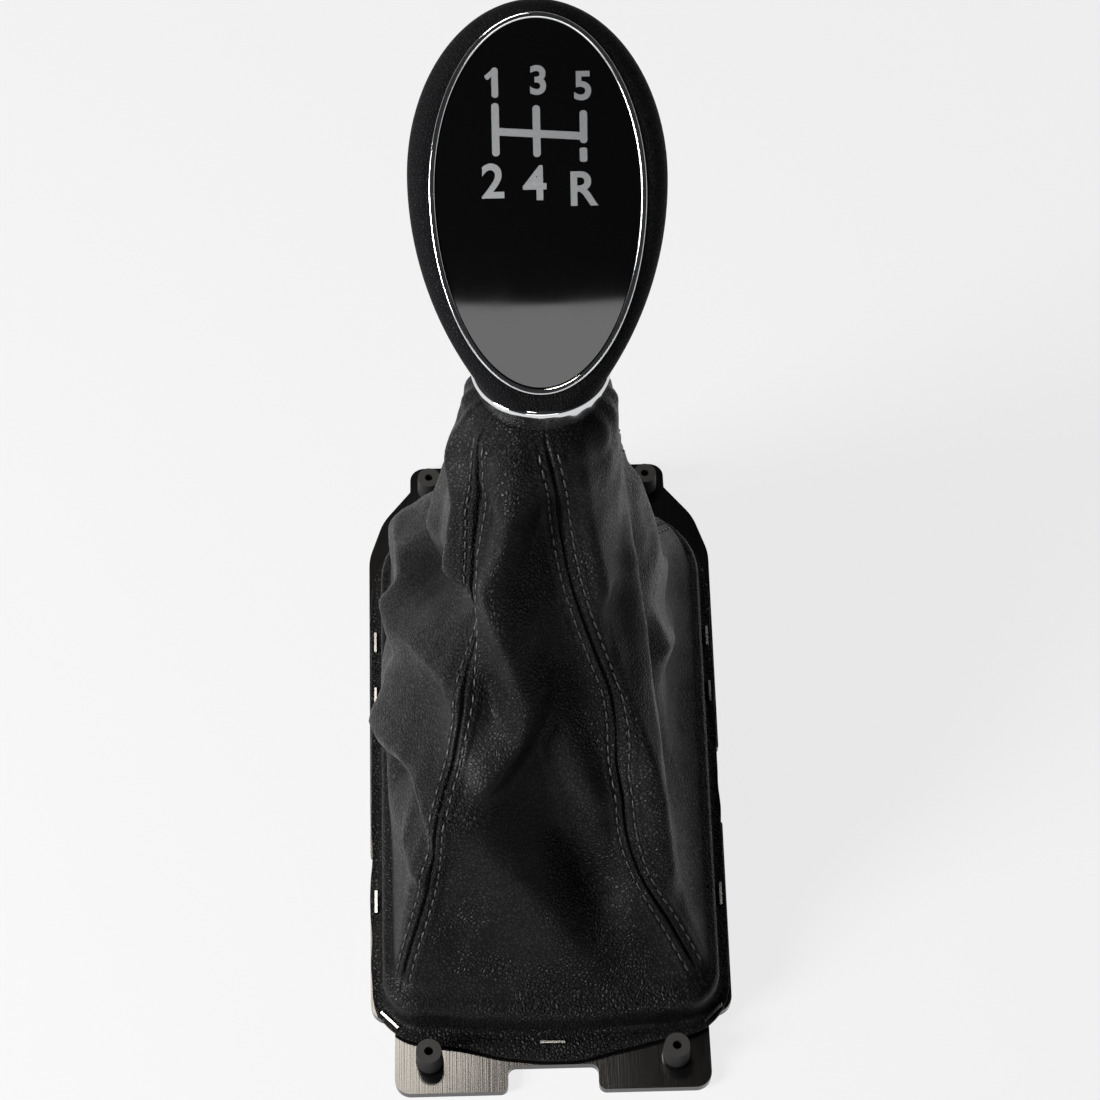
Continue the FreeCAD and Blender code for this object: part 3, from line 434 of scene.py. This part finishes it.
# Stitches: two lines of black bonded thread beside each seam, sewn through the turned-under edges.
# Each stitch is a flattened bead lying in a groove pressed into the hide.
bonded_thread, tree, skin, place = finish_named("bonded_thread")
skin.inputs["Base Color"].default_value = linear("#2a2a2b")
skin.inputs["Roughness"].default_value = 0.4
ply = 0.0003
twist = node(tree, "ShaderNodeTexNoise", [("Scale", 1 / ply), ("Detail", 1.0)], [("Vector", place)])
plies = node(tree, "ShaderNodeBump", [("Strength", 0.6), ("Distance", 0.00005)], [("Height", twist.outputs[0])])
tree.links.new(plies.outputs[0], skin.inputs["Normal"])
stitch_length, stitch_pitch, stitch_width, stitch_lift = 0.0025, 0.0031, 0.0006, 0.00012
first_stitch, last_stitch = 0.012, 0.965
step = 0.4 * stitch_pitch / skin_rise
for half, start, stop_share in (("skirt", first_stitch, split), ("neck", split, last_stitch)):
    bm = bmesh.new()
    for seam in seam_angles:
        for side in (-1, 1):
            share = start + 0.5 * stitch_pitch / skin_rise
            while share < stop_share:
                point = sewn(seam, share)
                reach = math.hypot(point.x, point.y - (land_rise + skin_rise * share) * math.sin(lean))
                away = seam + side * stitch_away / reach
                spot = sewn(away, share)
                rise = sewn(away, share + step) - sewn(away, share - step)
                along = rise.normalized()
                beside = stitch_width / reach
                around = (sewn(away + beside, share) - sewn(away - beside, share)).normalized()
                out = around.cross(along).normalized()
                across = along.cross(out)
                shape = Matrix((along, across, out)).transposed().to_4x4()
                size = Matrix.Diagonal((0.5 * stitch_length, 0.5 * stitch_width, 0.5 * stitch_width, 1.0))
                bmesh.ops.create_uvsphere(bm, u_segments=8, v_segments=6, radius=1.0,
                                          matrix=Matrix.Translation(spot + out * stitch_lift) @ shape @ size)
                share += stitch_pitch / (rise.length / (2 * step))
    for face in bm.faces:
        face.smooth = True
    stitches = placed(f"{half}_stitches", bm)
    stitches.data.materials.append(bonded_thread)
    if half == "skirt":
        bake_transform(stitches)
    else:
        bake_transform(stitches)


# Staples: zinc-plated steel wire, pressed through the hem into the flange.
# Drawn wire keeps a bright skin with faint dull patches.
zinc_wire, tree, skin, place = finish_named("zinc_plated_wire")
skin.inputs["Base Color"].default_value = linear("#a5a6a7")
skin.inputs["Metallic"].default_value = 1.0
patch = 0.0015
patches = node(tree, "ShaderNodeTexNoise", [("Scale", 1 / patch), ("Detail", 2.0)], [("Vector", place)])
dull = node(tree, "ShaderNodeMapRange", [("To Min", 0.18), ("To Max", 0.42)], [("Value", patches.outputs[0])])
tree.links.new(dull.outputs[0], skin.inputs["Roughness"])
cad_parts["staples"].material_slots[0].material = zinc_wire


# Lever socket and neck ring: glass-filled nylon, moulded, out of sight inside the neck.
# The socket takes the lever, and the ring clamps the drawn-in leather against it.
filled_nylon, tree, skin, place = finish_named("filled_nylon")
skin.inputs["Base Color"].default_value = linear("#252526")
fleck = 0.0009
flecks = node(tree, "ShaderNodeTexNoise", [("Scale", 1 / fleck), ("Detail", 3.0)], [("Vector", place)])
frosted = node(tree, "ShaderNodeMapRange", [("To Min", 0.42), ("To Max", 0.66)], [("Value", flecks.outputs[0])])
tree.links.new(frosted.outputs[0], skin.inputs["Roughness"])
for name in ("lever_socket", "neck_ring"):
    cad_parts[name].material_slots[0].material = filled_nylon


# Collar and face ring: chromed ABS, polished before plating.
# The plate mirrors the room, with a very faint ripple left from the moulding.
bright_chrome, tree, skin, place = finish_named("bright_chrome")
skin.inputs["Base Color"].default_value = linear("#dfe0e2")
skin.inputs["Metallic"].default_value = 1.0
ripple = 0.006
ripples = node(tree, "ShaderNodeTexNoise", [("Scale", 1 / ripple), ("Detail", 1.0)], [("Vector", place)])
haze = node(tree, "ShaderNodeMapRange", [("To Min", 0.03), ("To Max", 0.09)], [("Value", ripples.outputs[0])])
swell = node(tree, "ShaderNodeBump", [("Strength", 0.08), ("Distance", 0.0002)], [("Height", ripples.outputs[0])])
tree.links.new(haze.outputs[0], skin.inputs["Roughness"])
tree.links.new(swell.outputs[0], skin.inputs["Normal"])
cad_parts["face_trim_ring"].material_slots[0].material = bright_chrome

# Outline of the spun collar as (radius, height along the lever)
collar_profile = [(0.0118, 0.1380), (0.0118, 0.1365), (0.0136, 0.1365), (0.0141, 0.1368), (0.0149, 0.1394),
                  (0.0153, 0.1412), (0.0155, 0.1419), (0.0155, 0.1424), (0.0153, 0.1428), (0.0149, 0.1430),
                  (0.0126, 0.1430), (0.0126, 0.1380)]
bm = bmesh.new()
ring = [bm.verts.new((radius, 0, height)) for radius, height in collar_profile]
edges = [bm.edges.new((before, after)) for before, after in zip(ring, ring[1:] + ring[:1])]
bmesh.ops.spin(bm, geom=ring + edges, axis=(0, 0, 1), cent=(0, 0, 0), angle=2 * math.pi, steps=96,
               use_merge=True)
bmesh.ops.remove_doubles(bm, verts=bm.verts[:], dist=0.000001)
bmesh.ops.recalc_face_normals(bm, faces=bm.faces[:])
bmesh.ops.transform(bm, matrix=Matrix.Rotation(-lean, 4, "X"), verts=bm.verts[:])
smoothed(bm, 40)
bright_collar = placed("bright_collar", bm)
bright_collar.data.materials.append(bright_chrome)
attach(bright_collar, "knob")
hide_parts("knob_collar")


# Knob shell: soft PVC skin over a hard core, with a fine leather grain from its mould.
# It is near black and almost matt, a little shinier on top of the grain.
grained_pvc, tree, skin, place = finish_named("grained_pvc")
cell = 0.00065
cells = node(tree, "ShaderNodeTexVoronoi", [("Scale", 1 / cell)], [("Vector", place)],
             feature="DISTANCE_TO_EDGE")
domes = node(tree, "ShaderNodeMapRange", [("From Max", 0.3)], [("Value", cells.outputs["Distance"])],
             interpolation_type="SMOOTHSTEP")
shade = node(tree, "ShaderNodeValToRGB", (), [("Fac", domes.outputs[0])])
shade.color_ramp.elements[0].color = linear("#08080a")
shade.color_ramp.elements[1].color = linear("#18181b")
gloss = node(tree, "ShaderNodeMapRange", [("To Min", 0.66), ("To Max", 0.52)], [("Value", domes.outputs[0])])
relief = node(tree, "ShaderNodeBump", [("Strength", 1.0), ("Distance", 0.00014)], [("Height", domes.outputs[0])])
tree.links.new(shade.outputs[0], skin.inputs["Base Color"])
tree.links.new(gloss.outputs[0], skin.inputs["Roughness"])
tree.links.new(relief.outputs[0], skin.inputs["Normal"])
skin.inputs["Specular IOR Level"].default_value = 0.06
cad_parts["knob_shell"].material_slots[0].material = grained_pvc


# Face lens: a domed plate of black acrylic, polished, set inside the bright ring.
# It is mirror smooth, with only a faint haze from handling.
black_acrylic, tree, skin, place = finish_named("black_acrylic")
skin.inputs["Base Color"].default_value = linear("#060607")
skin.inputs["IOR"].default_value = 1.58
smear = 0.012
smears = node(tree, "ShaderNodeTexNoise", [("Scale", 1 / smear), ("Detail", 3.0)], [("Vector", place)])
haze = node(tree, "ShaderNodeMapRange", [("To Min", 0.03), ("To Max", 0.08)], [("Value", smears.outputs[0])])
tree.links.new(haze.outputs[0], skin.inputs["Roughness"])
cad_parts["face_lens"].material_slots[0].material = black_acrylic


# Shift pattern: silver ink printed on the lens, numbers over and under a plain gate of five bars and a dash.
# The print is a few hundredths of a millimetre thick and follows the dome.
silver_ink, tree, skin, place = finish_named("silver_ink")
skin.inputs["Metallic"].default_value = 0.35
flake = 0.0004
flakes = node(tree, "ShaderNodeTexNoise", [("Scale", 1 / flake), ("Detail", 2.0)], [("Vector", place)])
shade = node(tree, "ShaderNodeValToRGB", (), [("Fac", flakes.outputs[0])])
shade.color_ramp.elements[0].color = linear("#9b9d9f")
shade.color_ramp.elements[1].color = linear("#b9bbbd")
tree.links.new(shade.outputs[0], skin.inputs["Base Color"])
skin.inputs["Roughness"].default_value = 0.34
lens_crest, lens_middle, lens_across, lens_along = -0.013, 0.038, 0.175, 0.420
ink, ink_lift = 0.00003, 0.00004
grip_place = Matrix.Translation((0, 0.02237, 0.14124)) @ Matrix.Rotation(math.radians(-47), 4, "X")

# Bars as (x and z of one end, x and z of the other, width) in the face's own plane
bars = [(-0.00875, 0.0465, -0.00875, 0.0560, 0.0016), (-0.00005, 0.0462, -0.00005, 0.0554, 0.0016),
        (0.0099, 0.0489, 0.0099, 0.0542, 0.0016), (-0.00875, 0.05087, 0.0099, 0.0496, 0.0016),
        (0.0098, 0.0450, 0.0098, 0.0464, 0.0016), (-0.0087, 0.0586, -0.0087, 0.0635, 0.0014),
        (-0.0102, 0.0623, -0.0090, 0.0633, 0.0011)]
bm = bmesh.new()
for x0, z0, x1, z1, bar in bars:
    long = Vector((x1 - x0, 0, z1 - z0))
    turn = Matrix.Rotation(-math.atan2(long.z, long.x), 4, "Y")
    middle = Matrix.Translation((0.5 * (x0 + x1), 0, 0.5 * (z0 + z1)))
    size = Matrix.Diagonal((long.length + bar, ink, bar, 1.0))
    made = bmesh.ops.create_cube(bm, size=1.0, matrix=middle @ turn @ size)
    edges = {edge for vert in made["verts"] for edge in vert.link_edges}
    corners = [edge for edge in edges if edge.calc_length() < 1.5 * ink]
    runs = [edge for edge in edges if edge.calc_length() > 1.2 * bar]
    bmesh.ops.subdivide_edges(bm, edges=runs, cuts=9, use_grid_fill=True)
    bmesh.ops.bevel(bm, geom=corners, offset=0.46 * bar, affect="EDGES", segments=6, profile=0.5, material=-1)

# Signs as (sign, x, z, letter height)
numbers = [("3", 0.0005, 0.0611, 0.0082), ("5", 0.0099, 0.0598, 0.0082),
           ("2", -0.00955, 0.0401, 0.0100), ("4", -0.0006, 0.03955, 0.0100), ("R", 0.0094, 0.0382, 0.0100)]
for sign, x, z, high in numbers:
    letter = bpy.data.curves.new(f"sign_{sign}", "FONT")
    letter.body = sign
    letter.size = high
    letter.offset = 0.00022
    letter.align_x = "CENTER"
    letter.align_y = "CENTER"
    letter.extrude = 0.5 * ink
    drawn = bpy.data.objects.new(letter.name, letter)
    bpy.context.scene.collection.objects.link(drawn)
    flat = bpy.data.meshes.new_from_object(drawn.evaluated_get(bpy.context.evaluated_depsgraph_get()))
    flat.transform(Matrix.Translation((x, 0, z)) @ Matrix.Rotation(math.radians(90), 4, "X"))
    bm.from_mesh(flat)
    bpy.data.meshes.remove(flat)
    bpy.data.objects.remove(drawn)
bmesh.ops.remove_doubles(bm, verts=bm.verts[:], dist=0.000001)
bmesh.ops.recalc_face_normals(bm, faces=bm.faces[:])
for vert in bm.verts:
    away = vert.co.z - lens_middle
    sag = lens_across - math.sqrt(lens_across**2 - vert.co.x**2)
    sag += lens_along - math.sqrt(lens_along**2 - away**2)
    vert.co.y += lens_crest + sag - ink_lift
bmesh.ops.transform(bm, matrix=grip_place, verts=bm.verts[:])
shift_pattern = placed("shift_pattern", bm)
shift_pattern.data.materials.append(silver_ink)
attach(shift_pattern, "knob")


# Floor: a plain sheet of white paper that runs out of view and keeps a soft shadow.
# It shows white to the eye and in the chrome and the gloss face, and throws back only a grey paper's light.
def seen_rays(tree):
    """1 for what the eye sees straight, in a mirror or through glass, and 0 for light on its way to the part."""
    path = node(tree, "ShaderNodeLightPath")
    mirrored = node(tree, "ShaderNodeMath", (),
                    [(0, path.outputs["Is Glossy Ray"]), (1, path.outputs["Is Transmission Ray"])],
                    operation="MAXIMUM")
    return node(tree, "ShaderNodeMath", (), [(0, path.outputs["Is Camera Ray"]), (1, mirrored.outputs[0])],
                operation="MAXIMUM")


bm = bmesh.new()
bmesh.ops.create_grid(bm, x_segments=1, y_segments=1, size=20.0)
studio_floor = placed("studio_floor", bm)
paper_white = 0.8
white_paper, tree, skin, _ = finish_named("white_paper")
skin.inputs["Roughness"].default_value = 0.9
seen = seen_rays(tree)
tone = node(tree, "ShaderNodeMixRGB", [("Color1", linear("#b0b0b0")), ("Color2", linear("#e6e6e6"))],
            [("Fac", seen.outputs[0])])
tree.links.new(tone.outputs[0], skin.inputs["Base Color"])
share = node(tree, "ShaderNodeMath", [(1, paper_white)], [(0, seen.outputs[0])], operation="MULTIPLY")
glow = node(tree, "ShaderNodeEmission", [("Color", (1, 1, 1, 1)), ("Strength", 1.0)])
both = node(tree, "ShaderNodeMixShader", (), [(0, share.outputs[0]), (1, skin.outputs[0]), (2, glow.outputs[0])])
tree.links.new(both.outputs[0], tree.nodes["Material Output"].inputs["Surface"])
studio_floor.data.materials.append(white_paper)


# Light: a soft window at the front left and a dim room, pale along the horizon where the paper ends.
# Two weak panels, one overhead at the rear and one at the front, show only in the shiny surfaces.
world = bpy.data.worlds.new("studio")
bpy.context.scene.world = world
world.use_nodes = True
tree = world.node_tree
room = tree.nodes["Background"]
room.inputs["Color"].default_value = linear("#d8dade")
room.inputs["Strength"].default_value = 0.045
seen = seen_rays(tree)
aim = node(tree, "ShaderNodeTexCoord")
climb = node(tree, "ShaderNodeSeparateXYZ", (), [("Vector", aim.outputs["Generated"])])
low = node(tree, "ShaderNodeMapRange", [("From Min", 0.25), ("From Max", 0.35), ("To Min", 1.0), ("To Max", 0.0)],
           [("Value", climb.outputs["Z"])])
share = node(tree, "ShaderNodeMath", (), [(0, seen.outputs[0]), (1, low.outputs[0])], operation="MULTIPLY")
paper = node(tree, "ShaderNodeBackground", [("Color", linear("#e6e6e6")), ("Strength", 1.0)])
both = node(tree, "ShaderNodeMixShader", (), [(0, share.outputs[0]), (1, room.outputs[0]), (2, paper.outputs[0])])
tree.links.new(both.outputs[0], tree.nodes["World Output"].inputs["Surface"])

# Lamps as (name, place, aim, tint, width, height, watts)
lamps = [("window", (-0.83, -0.39, 0.43), (0.0, 0.0, 0.06), "#ffffff", 0.34, 0.44, 14.5),
         ("rear_panel", (-0.26, 0.25, 0.86), (-0.03, -0.08, 0.0), "#fff6ea", 0.4, 0.26, 6.0),
         ("front_panel", (0.0, -1.6, 1.02), (0.0, 0.0, 0.2), "#ffffff", 1.5, 0.53, 7.0)]
for name, spot, aim, tint, wide, high, power in lamps:
    lamp = bpy.data.lights.new(name, "AREA")
    lamp.shape = "RECTANGLE"
    lamp.size = wide
    lamp.size_y = high
    lamp.energy = power
    lamp.color = linear(tint)[:3]
    lit = bpy.data.objects.new(name, lamp)
    turn = (Vector(aim) - Vector(spot)).to_track_quat("-Z", "Y")
    lit.matrix_world = Matrix.Translation(spot) @ turn.to_matrix().to_4x4()
    lit.visible_diffuse = name == "window"
    bpy.context.scene.collection.objects.link(lit)


# Camera: above the driver's end, looking down at the gaiter as the photograph does.
camera_data = bpy.data.cameras.new("camera")
camera_data.lens = 81.8
camera_data.sensor_width = 36.0
camera = bpy.data.objects.new("camera", camera_data)
elevation, azimuth = math.radians(57.0), math.radians(-1.5)
ahead = Vector((-math.sin(azimuth) * math.cos(elevation), math.cos(azimuth) * math.cos(elevation),
                -math.sin(elevation)))
across = Vector((math.cos(azimuth), math.sin(azimuth), 0))
up = across.cross(ahead)
camera_spot = Matrix.Translation((-0.0067, -0.3115, 0.5805))
camera.matrix_world = camera_spot @ Matrix((across, up, -ahead)).transposed().to_4x4()
bpy.context.scene.collection.objects.link(camera)
bpy.context.scene.camera = camera
bpy.context.scene.view_settings.view_transform = "Standard"
